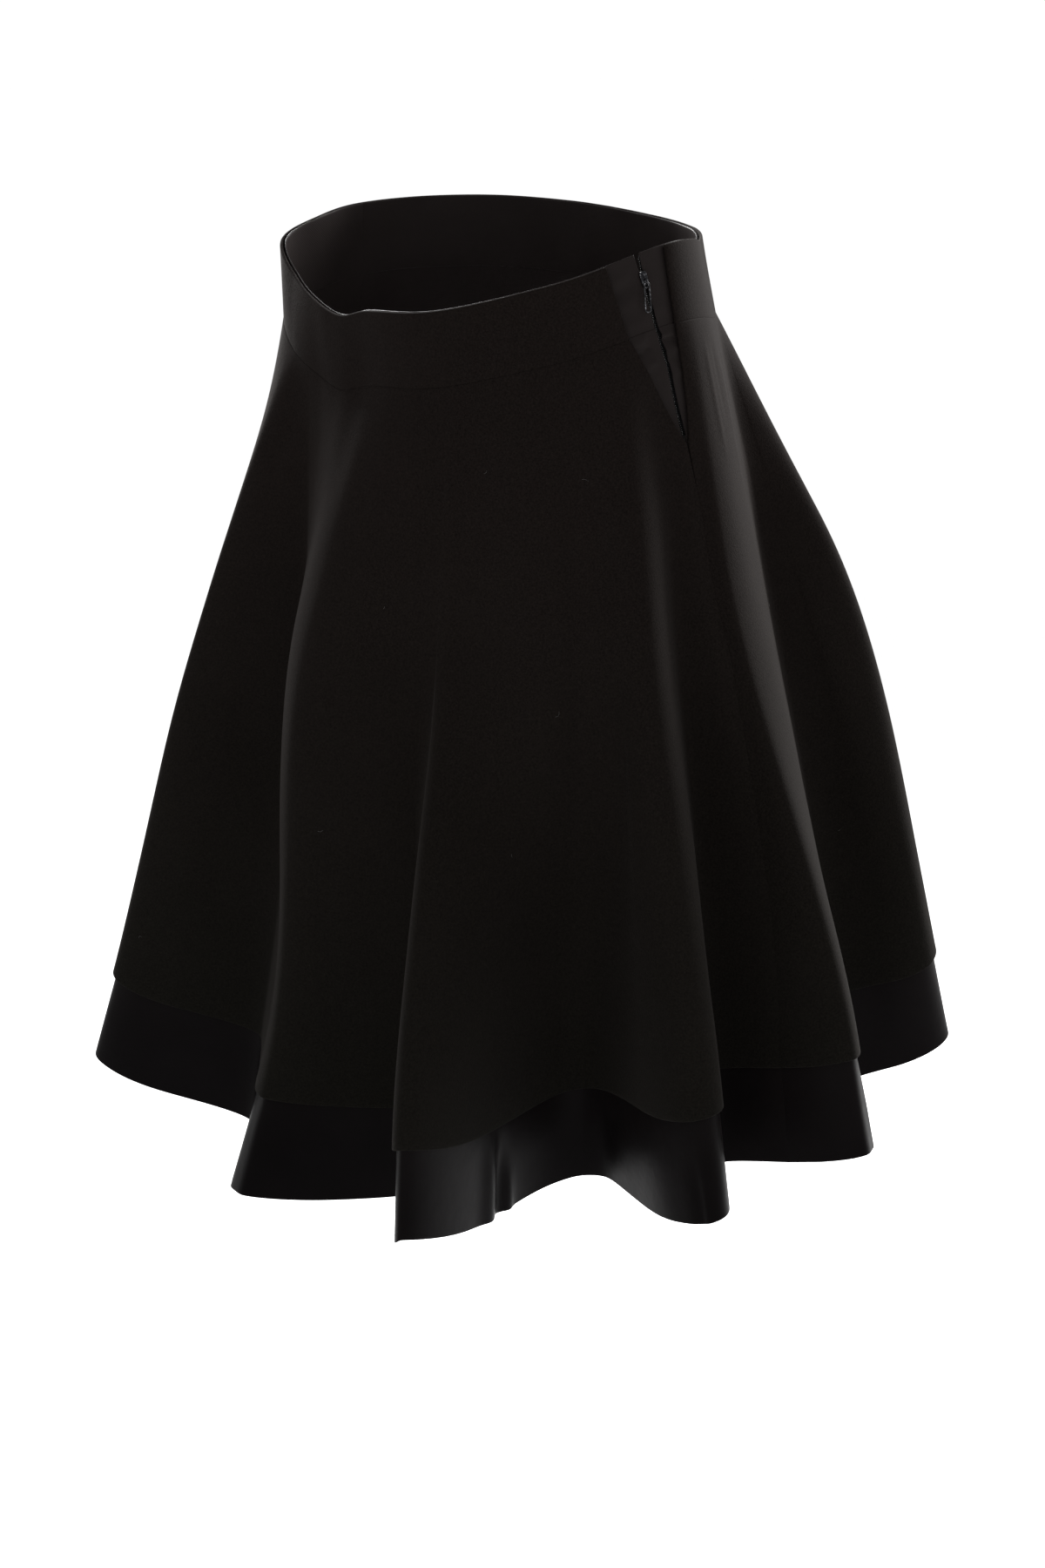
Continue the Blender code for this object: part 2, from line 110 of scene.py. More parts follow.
# One row for each fold, in degrees and metres: crest angle, half width,
# radius at the hem, at the thigh and at the hip, then the valley after it
FOLDS = (
    (-137.5, 4.5, 0.257, 0.219, 0.175, -124.0, 5.5, 0.158, 0.136, 0.122),
    (-89.0, 3.0, 0.195, 0.171, 0.147, -60.6, 4.0, 0.151, 0.153, 0.140),
    (-52.6, 3.0, 0.268, 0.209, 0.1415, -28.0, 7.2, 0.166, 0.172, 0.163),
    (-16.5, 3.5, 0.278, 0.229, 0.181, -5.5, 2.6, 0.208, 0.184, 0.160),
    (5.0, 2.6, 0.280, 0.225, 0.172, 35.5, 3.6, 0.206, 0.183, 0.152),
    (45.6, 5.6, 0.267, 0.236, 0.184, 71.0, 4.0, 0.195, 0.188, 0.168),
    (90.0, 3.5, 0.262, 0.225, 0.178, 106.0, 3.2, 0.198, 0.186, 0.158),
    (122.0, 4.0, 0.272, 0.232, 0.176, 138.5, 3.0, 0.206, 0.190, 0.158),
    (155.0, 3.4, 0.259, 0.222, 0.171, 170.5, 3.4, 0.194, 0.185, 0.158),
    (186.5, 4.0, 0.266, 0.221, 0.172, 202.0, 3.0, 0.188, 0.175, 0.153),
)
HIP_SHARE = 0.30
THIGH_SHARE = 0.65
# How far the folds are a soft wave at the hip and thigh: 1 is wholly soft
HIP_SOFTNESS = 1.0
THIGH_SOFTNESS = 0.3

# The opening at the wearer's left: distance down the cloth from the top
# edge, then the angle of the front wool edge, the zip and the back wool edge
OPENING = (
    (0.000, -17.6, -9.8, -2.7),
    (0.0435, -12.8, -5.5, -1.1),
    (0.066, -8.6, -3.0, -0.2),
    (0.090, -4.4, -1.6, 0.2),
    (0.112, -0.4, -0.2, 0.0),
    (0.150, 1.4, 1.4, 1.4),
    (0.235, 2.4, 2.4, 2.4),
    (0.345, 1.0, 1.0, 1.0),
    (0.4725, 0.0, 0.0, 0.0),
    (0.5400, 0.0, 0.0, 0.0),
)
FRONT_EDGE, ZIP_LINE, BACK_EDGE = 1, 2, 3
OPENING_END = 0.112
OPENING_MARGIN = 0.001
# Free width beside the wool's edges and beside the satin's, down the opening
OPENING_SPARE = ((0.000, 0.0002), (0.540, 0.0002))
SATIN_SPARE = ((0.000, 0.0018), (0.009, 0.0012), (0.540, 0.0011))
RIGHT_SEAM = 180.0
TAPE_WIDTH = 0.011
EASE_FRONT = -30.0
EASE_BACK = 28.0
NOMINAL_SEAM = 1.5
# How much wider the skirt is at the wool's hem than at the waist seam, beside
# the opening: only turns small widths into angles
HEM_SPREAD = 0.11
# Steps of place in the table that turns angles into places, and the steps
# over which a surface's normals are taken, round and down
PLACE_STEP = 0.01
NORMAL_SIDE = 0.03
NORMAL_ALONG = 0.0008
# Places kept free beside the ends of a half, for their own columns
END_ROOM = 0.22
# Share of the wool's length just above its hem, for the satin's way on
NEAR_HEM = 0.999

# Slider and pull, in the slider's own frame: x across, y up, z out
SLIDER_DOWN = 0.0150
SLIDER_LENGTH = 0.0096
SLIDER_WIDTH = 0.0052
SLIDER_THICK = 0.0014
SLIDER_LIFT = 0.0003
NECK_WIDTH = 0.0012
NECK_DEPTH = 0.0010
BRIDGE_DROP = 0.0016
BRIDGE_REACH = 0.0020
BRIDGE_RISE = 0.0021
BRIDGE_WIRE = 0.0004
PIVOT_DROP = 0.0003
PIVOT_RISE = 0.00085
PULL_WIRE = 0.00045
PULL_LENGTH = 0.0158
PULL_TOP_HALF = 0.0015
PULL_LOW_HALF = 0.0018
# The slider's plate is a rounded shield: its power, taper and steps, then its
# levels, as inset from the outline and distance from the lower or upper face
PLATE_POWER = 3.4
PLATE_TAPER = 0.30
PLATE_STEPS = 40
PLATE_LOWER = ((0.00045, 0.0), (0.00010, 0.00020), (0.0, 0.00045))
PLATE_UPPER = ((0.00004, 0.00045), (0.00022, 0.00018), (0.00060, 0.00004), (0.00110, 0.0))
# Half the neck's length, as a share of the slider's
NECK_SHARE = 0.3
BRIDGE_STEPS = 20
BRIDGE_SIDES = 12
# The pull's outline: shares of its top half width with distances down, then
# shares of the way to its low end, then the steps of its round end
PULL_SHOULDER = ((0.6, 0.0), (0.95, -0.0004), (1.0, -0.0012))
PULL_SHARES = (0.3, 0.65, 1.0)
PULL_STEPS = 8
PULL_SIDES = 14

# How far from the waist seam the zip's line is straight, and how far up and
# down the zip's own direction is taken
ZIP_BEND_REACH = 0.006
ZIP_REACH = 0.004
# Tapes and coil: distance down the cloth and half the gap between the tapes
ZIP_SLOTS = ((0.000, 0.00210), (0.007, 0.00150), (0.0130, 0.00060), (0.110, 0.00045))
TAPE_START = 0.0020
TAPE_END = 0.1080
TAPE_DEPTH = BAND_WALL + LAYER_GAP + SATIN_WALL + TAPE_GAP
TAPE_COLUMNS = 5
TOOTH_PITCH = 0.0013
TOOTH_RADIUS = 0.00032
TOOTH_LENGTH = 0.0016
TOOTH_SET = 0.0002
TOOTH_SINK = 0.6
TOOTH_STAGGER = 0.25
TOOTH_SIDES = 6
# Along a tooth from its middle, in half lengths, and its thickness there
TOOTH_FORM = ((-1.0, 0.55), (-0.8, 1.0), (0.8, 1.0), (1.0, 0.55))
# Heights between which the cloth's painted shade and painted light change, hems to waist seam
PAINTED_SHADE_LOW = -0.50
PAINTED_SHADE_HIGH = -0.03
# How much painted highlight the metal gets where it bends outwards
METAL_HIGHLIGHT_GAIN = 3.0
# Shades of the slider and of the pull, from painted shade in the hollows to painted highlight on
# the outward edges
SLIDER_SHADES = (
    (0.35, (0.006, 0.006, 0.007)),
    (0.62, (0.020, 0.020, 0.022)),
    (0.92, (0.22, 0.22, 0.23)),
)
PULL_SHADES = (
    (0.40, (0.010, 0.010, 0.011)),
    (0.66, (0.035, 0.035, 0.037)),
    (0.95, (0.36, 0.36, 0.38)),
)

# How closely the cloth is drawn: metres and degrees of bend for one column
COLUMN_STEP = 0.0042
COLUMN_BEND = 11.0
# Angles between which the columns lie closer, for the folds in the satin
CLOSE_RANGES = ((-46.0, -36.0), (-24.0, -16.0), (-12.0, 14.0), (34.0, 41.0))
CLOSE_FACTOR = 1.8
# Rounding of cut and turned edges, and where its rows lie
EDGE_ROUND = 0.0009
EDGE_STEPS = (0.0, 0.07, 0.25, 0.55, 1.0)
EDGE_CLEAR = 1.6

# Slow unevenness of hanging cloth: times round, turn for each metre down,
# start and share of each wave, then its height on band, panels and tapes
SWAY_WAVES = (
    (5, 21, 0.4, 1.0),
    (9, -33, 2.1, 0.7),
    (17, 47, 4.0, 0.5),
    (31, -26, 1.3, 0.35),
)
BAND_SWAY = 0.0001
PANEL_SWAY = 0.00025
TAPE_SWAY = 0.00003

# Distances down the cloth of the two hems
WOOL_HEM = BAND_DEPTH + WOOL_LENGTH
SATIN_HEM = BAND_DEPTH + SATIN_LENGTH

# Rows of the cloth: from and to down the cloth, and the step between rows
BAND_ROWS = ((0.0, BAND_DEPTH + SEAM_LAP, 0.0022),)
WOOL_ROWS = (
    (BAND_DEPTH - SEAM_LAP, 0.085, 0.0026),
    (0.085, 0.160, 0.0044),
    (0.160, WOOL_HEM - 0.030, 0.0065),
    (WOOL_HEM - 0.030, WOOL_HEM, 0.0034),
)
SATIN_ROWS = (
    (BAND_DEPTH - SEAM_LAP, 0.085, 0.0020),
    (0.085, 0.120, 0.0044),
    (0.120, WOOL_HEM - 0.030, 0.0110),
    (WOOL_HEM - 0.030, SATIN_HEM - 0.006, 0.0034),
    (SATIN_HEM - 0.006, SATIN_HEM, 0.0016),
)
TAPE_ROWS = ((TAPE_START, TAPE_END, 0.0024),)

# Soft creases of the wool: start angle and distance down, end angle and
# distance down, half width, height (a trough is negative)
WOOL_CREASES = (
    (-128.0, 0.070, -134.0, 0.120, 0.0050, -0.0009),
    (-126.0, 0.078, -131.5, 0.130, 0.0060, 0.0008),
    (-87.0, 0.120, -88.5, 0.310, 0.0110, 0.0012),
    (37.0, 0.090, 39.0, 0.300, 0.0080, 0.0018),
    (33.0, 0.120, 34.0, 0.330, 0.0120, -0.0010),
    (-7.0, 0.075, -7.5, 0.420, 0.0240, 0.0040),
    (1.2, 0.105, 2.6, 0.270, 0.0040, -0.0024),
    (2.6, 0.210, 0.6, 0.410, 0.0042, -0.0022),
    (8.0, 0.050, 10.5, 0.130, 0.0030, 0.0005),
    (12.5, 0.052, 14.5, 0.110, 0.0028, -0.0004),
    (17.5, 0.055, 19.0, 0.150, 0.0034, 0.0004),
    (24.0, 0.050, 25.5, 0.120, 0.0038, 0.0004),
    (62.0, 0.070, 58.0, 0.190, 0.0070, -0.0010),
    (88.5, 0.110, 91.0, 0.300, 0.0100, 0.0015),
    (101.0, 0.060, 104.0, 0.150, 0.0060, -0.0008),
    (121.0, 0.130, 123.0, 0.320, 0.0110, 0.0015),
    (133.0, 0.075, 137.0, 0.135, 0.0055, -0.0009),
    (153.5, 0.120, 156.0, 0.290, 0.0100, 0.0015),
    (171.0, 0.100, 169.0, 0.280, 0.0130, -0.0010),
    (187.5, 0.120, 186.0, 0.300, 0.0100, 0.0014),
    (197.0, 0.065, 200.0, 0.140, 0.0060, -0.0008),
)

# Folds and puckers of the satin, in the same form
SATIN_CREASES = (
    (-42.0, 0.468, -44.5, 0.600, 0.0034, 0.0026),
    (-40.6, 0.470, -42.6, 0.600, 0.0030, -0.0020),
    (-39.2, 0.492, -41.4, 0.600, 0.0026, 0.0018),
    (-20.6, 0.462, -19.6, 0.600, 0.0030, 0.0022),
    (-22.2, 0.470, -22.6, 0.600, 0.0034, -0.0016),
    (-18.6, 0.480, -18.0, 0.600, 0.0024, -0.0014),
    (-93.5, 0.460, -94.0, 0.600, 0.0060, 0.0012),
    (-132.0, 0.462, -133.0, 0.600, 0.0060, 0.0012),
    (8.5, 0.470, 9.5, 0.600, 0.0060, 0.0012),
    (17.0, 0.465, 18.0, 0.600, 0.0080, -0.0012),
    (56.0, 0.468, 57.0, 0.600, 0.0040, 0.0020),
    (78.0, 0.470, 77.0, 0.600, 0.0036, 0.0022),
    (80.0, 0.475, 79.0, 0.600, 0.0030, -0.0016),
    (100.0, 0.465, 101.5, 0.600, 0.0050, 0.0014),
    (130.0, 0.470, 131.0, 0.600, 0.0036, 0.0022),
    (132.5, 0.475, 133.5, 0.600, 0.0032, -0.0016),
    (164.0, 0.465, 163.0, 0.600, 0.0050, 0.0015),
    (194.0, 0.470, 195.0, 0.600, 0.0040, 0.0018),
)
PLACKET_CREASES = (
    (-14.0, 0.0490, -7.6, 0.0455, 0.0020, 0.0016),
    (-13.0, 0.0560, -6.4, 0.0530, 0.0013, -0.0019),
    (-11.0, 0.0640, -5.0, 0.0605, 0.0022, 0.0014),
    (-8.6, 0.0780, -3.6, 0.0730, 0.0020, -0.0005),
    (-6.4, 0.0470, -0.4, 0.0490, 0.0014, 0.0014),
    (-5.6, 0.0510, 0.4, 0.0530, 0.0012, -0.0016),
    (-4.8, 0.0560, 0.8, 0.0590, 0.0016, 0.0010),
    (-4.2, 0.0625, 1.0, 0.0650, 0.0013, -0.0008),
    (-3.4, 0.0700, 1.4, 0.0730, 0.0018, 0.0007),
)
FACING_CREASES = (
    (-17.0, 0.0200, -9.2, 0.0160, 0.0030, -0.0013),
    (-18.2, 0.0120, -10.6, 0.0085, 0.0026, 0.0012),
    (-17.0, 0.0270, -8.6, 0.0235, 0.0034, 0.0011),
    (-14.4, 0.0385, -6.6, 0.0360, 0.0018, 0.0007),
    (-9.0, 0.0160, -3.0, 0.0215, 0.0036, 0.0006),
    (-7.6, 0.0320, -1.6, 0.0350, 0.0026, 0.0006),
)
CREASE_FADE = 0.30

# Lint: angle and distance down of what the photo shows, and how many more
LINT_SEEN = (
    (-65.0, 0.065),
    (-46.0, 0.095),
    (-31.0, 0.235),
    (-40.5, 0.310),
    (-71.0, 0.165),
    (-24.0, 0.110),
    (7.0, 0.082),
    (12.0, 0.083),
    (9.0, 0.118),
    (-82.0, 0.300),
    (-58.0, 0.400),
)
LINT_HIDDEN = 14
LINT_HIDDEN_ANGLES = (20.0, 230.0)
LINT_HIDDEN_DOWNS = (0.01, 0.45)
LINT_LENGTHS = (0.0014, 0.0038)
LINT_BOWS = (0.1, 0.35)
LINT_STEPS = 3
LINT_SIDES = 4
LINT_RADIUS = 0.00006
LINT_LIFT = 0.00035

SEED = 11


# Surface of the cloth, repeated from the solids
def radius_rows(crest_column, valley_column):
    """Angle and radius of each crest and valley of one level, in order."""
    table = []
    for fold in FOLDS:
        table.append((fold[0], fold[crest_column]))
        table.append((fold[5], fold[valley_column]))
    table.append((table[0][0] + 360.0, table[0][1]))
    return np.array(table)


def corner_points(crest_column, valley_column):
    """Corners of one level's loop: both sides of each crest and valley."""
    corners = []
    for fold in FOLDS:
        for centre, half, radius in (
            (fold[0], fold[1], fold[crest_column]),
            (fold[5], fold[6], fold[valley_column]),
        ):
            for side in (-1, 1):
                turn = math.radians(centre + side * half)
                corners.append((math.cos(turn) * radius, math.sin(turn) * radius))
    return np.array(corners)


HEM = corner_points(2, 7)
THIGH = corner_points(3, 8)
HIP = corner_points(4, 9)
THIGH_ROWS = radius_rows(3, 8)
HIP_ROWS = radius_rows(4, 9)
CORNERS = len(HEM)


def loop_points(corners, places):
    """Rounded loop: a curve from one edge's middle to the next one's."""
    index = np.floor(places).astype(int)
    share = (places - index)[:, None]
    before = corners[(index - 1) % CORNERS]
    here = corners[index % CORNERS]
    after = corners[(index + 1) % CORNERS]
    first = (before + here) / 2
    last = (here + after) / 2
    return first * (1 - share) ** 2 + here * 2 * share * (1 - share) + last * share**2


def angles_at(places):
    """Angles in degrees of places on the hem, growing all the way round."""
    points = loop_points(HEM, places)
    turn = np.degrees(np.arctan2(points[:, 1], points[:, 0]))
    lap = np.floor(places / CORNERS)
    middle = FOLDS[0][0] + 360.0 * (places / CORNERS - lap)
    return turn + 360.0 * (np.round((middle - turn) / 360.0) + lap)


def wave_radius(table, angles):
    """Radii that go softly from each crest to the valley beside it."""
    at = (angles - table[0, 0]) % 360.0 + table[0, 0]
    low = np.clip(np.searchsorted(table[:, 0], at, side="right") - 1, 0, len(table) - 2)
    upper, lower = table[low], table[low + 1]
    share = (at - upper[:, 0]) / (lower[:, 0] - upper[:, 0])
    return upper[:, 1] + (lower[:, 1] - upper[:, 1]) * share * share * (3 - 2 * share)


def soft_points(corners, table, softness, places):
    """A level above the hem, between its rounded corners and a soft wave."""
    points = loop_points(corners, places)
    angles = np.degrees(np.arctan2(points[:, 1], points[:, 0]))
    wave = wave_radius(table, angles) / np.linalg.norm(points, axis=1)
    return points * (1 + softness * (wave - 1))[:, None]


TABLE_PLACES = np.arange(-CORNERS, 2 * CORNERS, PLACE_STEP)
TABLE_ANGLES = angles_at(TABLE_PLACES)


def place_at(angle):
    """The place on the hem loop at an angle."""
    return float(np.interp(angle, TABLE_ANGLES, TABLE_PLACES))


WAIST_ROWS = np.array(
    [(row[0] + lap * 360.0, *row[1:]) for lap in (-1, 0, 1) for row in WAIST]
)


def waist(angles, column):
    """Smooth value round the waist table."""
    start = WAIST[0][0]
    at = (angles - start) % 360.0 + start
    low = np.searchsorted(WAIST_ROWS[:, 0], at, side="right") - 1
    x = [WAIST_ROWS[low + step, 0] for step in (-1, 0, 1, 2)]
    y = [WAIST_ROWS[low + step, column] for step in (-1, 0, 1, 2)]
    width = x[2] - x[1]
    share = (at - x[1]) / width
    rise_a = (y[2] - y[0]) / (x[2] - x[0]) * width
    rise_b = (y[3] - y[1]) / (x[3] - x[1]) * width
    square, cube = share**2, share**3
    return (
        (2 * cube - 3 * square + 1) * y[1]
        + (cube - 2 * square + share) * rise_a
        + (3 * square - 2 * cube) * y[2]
        + (cube - square) * rise_b
    )


def opening(down, column):
    """Angle of an opening edge at a distance down the cloth."""
    downs = [row[0] for row in OPENING]
    return float(np.interp(down, downs, [row[column] for row in OPENING]))


def through_levels(share):
    """Weights of seam, hip, thigh and hem: straight to the hip, then smooth."""
    below = max(share - HIP_SHARE, 0.0)
    thigh = THIGH_SHARE - HIP_SHARE
    whole = 1.0 - HIP_SHARE
    to_thigh = below**2 * (below - whole) / (thigh**2 * (thigh - whole))
    to_hem = below**2 * (below - thigh) / (whole**2 * (whole - thigh))
    slope = below * (below - thigh) * (below - whole) / (thigh * whole)
    lean = (min(share - HIP_SHARE, 0.0) + slope) / HIP_SHARE
    return (-lean, 1.0 + lean - to_thigh - to_hem, to_thigh, to_hem)


def band_points(places, down):
    """Points on the outside of the waistband."""
    angles = angles_at(places)
    turn = np.radians(angles)
    share = down / BAND_DEPTH
    top, seam = waist(angles, 1), waist(angles, 2)
    radius = top + (seam - top) * share
    height = waist(angles, 3) + TABLE_RISE - down
    return np.column_stack((radius * np.cos(turn), radius * np.sin(turn), height))


def panel_points(places, down):
    """Points on the outside of the wool, or below its hem on its line."""
    share = (down - BAND_DEPTH) / WOOL_LENGTH
    seam = band_points(places, BAND_DEPTH)
    levels = (
        seam[:, :2],
        soft_points(HIP, HIP_ROWS, HIP_SOFTNESS, places),
        soft_points(THIGH, THIGH_ROWS, THIGH_SOFTNESS, places),
        loop_points(HEM, places),
    )
    steps = (HIP_SHARE, THIGH_SHARE - HIP_SHARE, 1.0 - THIGH_SHARE)
    sideways = 0.0
    for upper, lower, step in zip(levels, levels[1:], steps):
        sideways = sideways + ((lower - upper) ** 2).sum(1) / step
    fall = np.sqrt(WOOL_LENGTH**2 - sideways)
    flat = sum(w * level for w, level in zip(through_levels(min(share, 1.0)), levels))
    if share > 1.0:
        before = sum(w * level for w, level in zip(through_levels(NEAR_HEM), levels))
        flat = flat + (levels[3] - before) * ((share - 1.0) / (1.0 - NEAR_HEM))
    return np.column_stack((flat, seam[:, 2] - fall * share))


def unit(vectors):
    """Vectors of length 1."""
    return vectors / np.linalg.norm(vectors, axis=1)[:, None]


def own_normals(surface, places, down, low, high):
    """Normals of a surface, leaning away from the body."""
    across = surface(places + NORMAL_SIDE, down) - surface(places - NORMAL_SIDE, down)
    above = surface(places, max(low, down - NORMAL_ALONG))
    below = surface(places, min(high, down + NORMAL_ALONG))
    return unit(np.cross(across, above - below))


def outward(surface, places, down, low, high):
    """Normals of a surface, turned so that both sides of the waist seam meet."""
    own = own_normals(surface, places, down, low, high)
    near = 1 - abs(down - BAND_DEPTH) / SEAM_REACH
    if near <= 0:
        return own
    above = own_normals(band_points, places, BAND_DEPTH, 0.0, BAND_DEPTH)
    below = own_normals(panel_points, places, BAND_DEPTH, BAND_DEPTH, SATIN_HEM)
    return unit(own * (1 - near) + unit(above + below) * near)


def degrees_of(width, down):
    """Angle that a small width takes at a distance down the cloth."""
    radius = float(waist(np.array([0.0]), 2)[0])
    if down > BAND_DEPTH:
        radius += HEM_SPREAD * min((down - BAND_DEPTH) / WOOL_LENGTH, 1.0)
    return math.degrees(width / radius)


# Columns and rows
def even_places():
    """Places once round, close together where the hem bends or is creased."""
    fine = np.arange(0.0, CORNERS, PLACE_STEP)
    points = loop_points(HEM, fine)
    ways = np.roll(points, -1, axis=0) - points
    lengths = np.linalg.norm(ways, axis=1)
    headings = np.degrees(np.arctan2(ways[:, 1], ways[:, 0]))
    bends = np.abs((np.roll(headings, -1) - headings + 180.0) % 360.0 - 180.0)
    cost = lengths / COLUMN_STEP + bends / COLUMN_BEND
    angles = (angles_at(fine) + 180.0) % 360.0 - 180.0
    for low, high in CLOSE_RANGES:
        cost[(angles > low) & (angles < high)] *= CLOSE_FACTOR
    total = np.cumsum(cost)
    count = int(total[-1])
    return np.interp(np.arange(count) * total[-1] / count, total, fine)


EVEN = even_places()
EVEN_ALL = np.concatenate([EVEN + lap * CORNERS for lap in (-1, 0, 1)])
FRONT_START = place_at(-RIGHT_SEAM)
BACK_END = place_at(RIGHT_SEAM)
SEAM_PLACE = place_at(NOMINAL_SEAM)
FRONT, BACK = -1, 1


def edge_offsets(surface, place, down):
    """Steps of place for the rounding's columns beside an edge."""
    pair = surface(np.array([place - PLACE_STEP, place + PLACE_STEP]), down)
    rate = np.linalg.norm(pair[1] - pair[0]) / (2 * PLACE_STEP)
    return np.array(EDGE_STEPS) * EDGE_ROUND / rate


def columns(surface, half, column, spare):
    """Places round one half for any row, with rounded edges at both ends.

    spare is the free width beside the opening, as (distance down, width) rows.
    """
    start = FRONT_START if half == FRONT else SEAM_PLACE
    end = SEAM_PLACE if half == FRONT else BACK_END
    base = EVEN_ALL[(EVEN_ALL > start + END_ROOM) & (EVEN_ALL < end - END_ROOM)]
    ease = place_at(EASE_FRONT if half == FRONT else EASE_BACK)

    def at(down):
        open_here = down < OPENING_END - OPENING_MARGIN
        free = np.interp(down, *zip(*spare)) if open_here else -SEAM_LAP
        edge = place_at(opening(down, column) + half * degrees_of(free, down))
        right = place_at(half * (RIGHT_SEAM + degrees_of(SEAM_LAP, down)))
        between = (base - ease) / (SEAM_PLACE - ease)
        eased = np.where(between > 0, ease + (edge - ease) * between, base)
        ends = (right, edge) if half == FRONT else (edge, right)
        first = ends[0] + edge_offsets(surface, ends[0], down)
        last = ends[1] - edge_offsets(surface, ends[1], down)
        return np.concatenate((first, eased, last[::-1]))

    return at


def edge_fullness(count, start, end):
    """Half-wall shares of rows or columns: thin at rounded ends."""
    full = np.ones(count)
    steps = np.array(EDGE_STEPS)
    bow = np.sqrt(1 - (1 - steps) ** 2)
    if start:
        full[: len(steps)] = bow
    if end:
        full[-len(steps):] = bow[::-1]
    return full


def rows(*stops):
    """Distances down the cloth: (from, to, step), ..., with rounded ends."""
    downs = []
    for low, high, step in stops:
        count = max(1, round((high - low) / step))
        downs.extend(low + (high - low) * index / count for index in range(count))
    top, bottom = stops[0][0], stops[-1][1]
    clear = EDGE_ROUND * EDGE_CLEAR
    inner = [down for down in downs if top + clear < down < bottom - clear]
    edge = [step * EDGE_ROUND for step in EDGE_STEPS]
    return [top + step for step in edge] + inner + [bottom - step for step in reversed(edge)]


def smooth_step(share):
    """0 to 1 with soft ends."""
    share = np.clip(share, 0.0, 1.0)
    return share * share * (3 - 2 * share)


def relief(creases, angles, radius, down):
    """Height of the creases at one row of points."""
    total = np.zeros(len(angles))
    scale = radius * math.pi / 180
    for angle_a, down_a, angle_b, down_b, half, height in creases:
        away = ((angles - angle_a + 180.0) % 360.0 - 180.0) * scale
        run = (angle_b - angle_a) * scale
        drop = down_b - down_a
        length = np.sqrt(run**2 + drop**2)
        along = (away * run + (down - down_a) * drop) / length**2
        across = (away * drop - (down - down_a) * run) / length
        fade = smooth_step(along / CREASE_FADE) * smooth_step((1 - along) / CREASE_FADE)
        total += height * fade * np.exp(-((across / half) ** 2))
    return total


def sway(angles, down, height):
    """Slow unevenness of hanging cloth."""
    turn = np.radians(angles)
    return height * sum(
        share * np.sin(times * turn + fall * down + start)
        for times, fall, start, share in SWAY_WAVES
    )


def cloth(name, surface, places, downs, depth, thick, creases, uneven):
    """Thin shell on a surface with rounded edges, creases and a cloth map."""
    low, high = downs[0], downs[-1]
    full_rows = edge_fullness(len(downs), True, True)
    outer, inner, maps = [], [], []
    for down, row_full in zip(downs, full_rows):
        row = places(down)
        points = surface(row, down)
        normals = outward(surface, row, down, low, high)
        angles = angles_at(row)
        radius = np.hypot(points[:, 0], points[:, 1])
        lift = relief(creases, angles, radius, down) + sway(angles, down, uneven)
        full = edge_fullness(len(row), True, True) * row_full
        middle = points + normals * (lift - depth - thick / 2)[:, None]
        outer.append(middle + normals * (full * thick / 2)[:, None])
        inner.append(middle - normals * (full * thick / 2)[:, None])
        steps = np.linalg.norm(np.diff(points, axis=0), axis=1)
        arc = np.concatenate(([0.0], np.cumsum(steps)))
        maps.append(np.column_stack((arc, np.full(len(row), down))))
    return shell(name, np.array(outer), np.array(inner), np.array(maps))


def shell(name, outer, inner, maps):
    """Closed mesh of two grids that meet along their rims."""
    height, width = outer.shape[:2]
    index = np.arange(height * width).reshape(height, width)
    rim = np.zeros((height, width), dtype=bool)
    rim[0] = rim[-1] = True
    rim[:, 0] = rim[:, -1] = True
    back = index.copy()
    back[~rim] = height * width + np.arange((~rim).sum())
    verts = np.concatenate((outer.reshape(-1, 3), inner[~rim]))
    flat = np.concatenate((maps.reshape(-1, 2), maps[~rim]))
    near = np.stack((index[:-1, :-1], index[1:, :-1], index[1:, 1:], index[:-1, 1:]), -1)
    far = np.stack((back[:-1, :-1], back[:-1, 1:], back[1:, 1:], back[1:, :-1]), -1)
    faces = np.concatenate((near.reshape(-1, 4), far.reshape(-1, 4)))
    mesh = bpy.data.meshes.new(name)
    mesh.from_pydata(verts.tolist(), [], faces.tolist())
    layer = mesh.uv_layers.new(name="cloth")
    layer.data.foreach_set("uv", flat[faces.reshape(-1)].astype(np.float32).ravel())
    mesh.shade_smooth()
    made = bpy.data.objects.new(name, mesh)
    bpy.context.collection.objects.link(made)
    return made


# Materials
def new_material(name):
    """A material with its nodes, links and shader."""
    made = bpy.data.materials.new(name)
    made.use_nodes = True
    tree = made.node_tree
    return made, tree.nodes, tree.links, tree.nodes["Principled BSDF"]


def noise(nodes, links, source, scale, detail, roughness=0.55):
    """Noise texture on a vector."""
    made = nodes.new("ShaderNodeTexNoise")
    made.inputs["Scale"].default_value = scale
    made.inputs["Detail"].default_value = detail
    made.inputs["Roughness"].default_value = roughness
    links.new(source, made.inputs["Vector"])
    return made.outputs["Fac"]


def ramp(nodes, links, source, stops):
    """Colour ramp: (position, colour), ..."""
    made = nodes.new("ShaderNodeValToRGB")
    band = made.color_ramp
    while len(band.elements) < len(stops):
        band.elements.new(0.5)
    for element, (position, colour) in zip(band.elements, stops):
        element.position = position
        element.color = (*colour, 1.0)
    links.new(source, made.inputs["Fac"])
    return made.outputs["Color"]


def arithmetic(nodes, links, kind, first, second):
    """Math node of two sockets or numbers."""
    made = nodes.new("ShaderNodeMath")
    made.operation = kind
    for socket, value in zip(made.inputs, (first, second)):
        if isinstance(value, (int, float)):
            socket.default_value = value
        else:
            links.new(value, socket)
    return made.outputs["Value"]


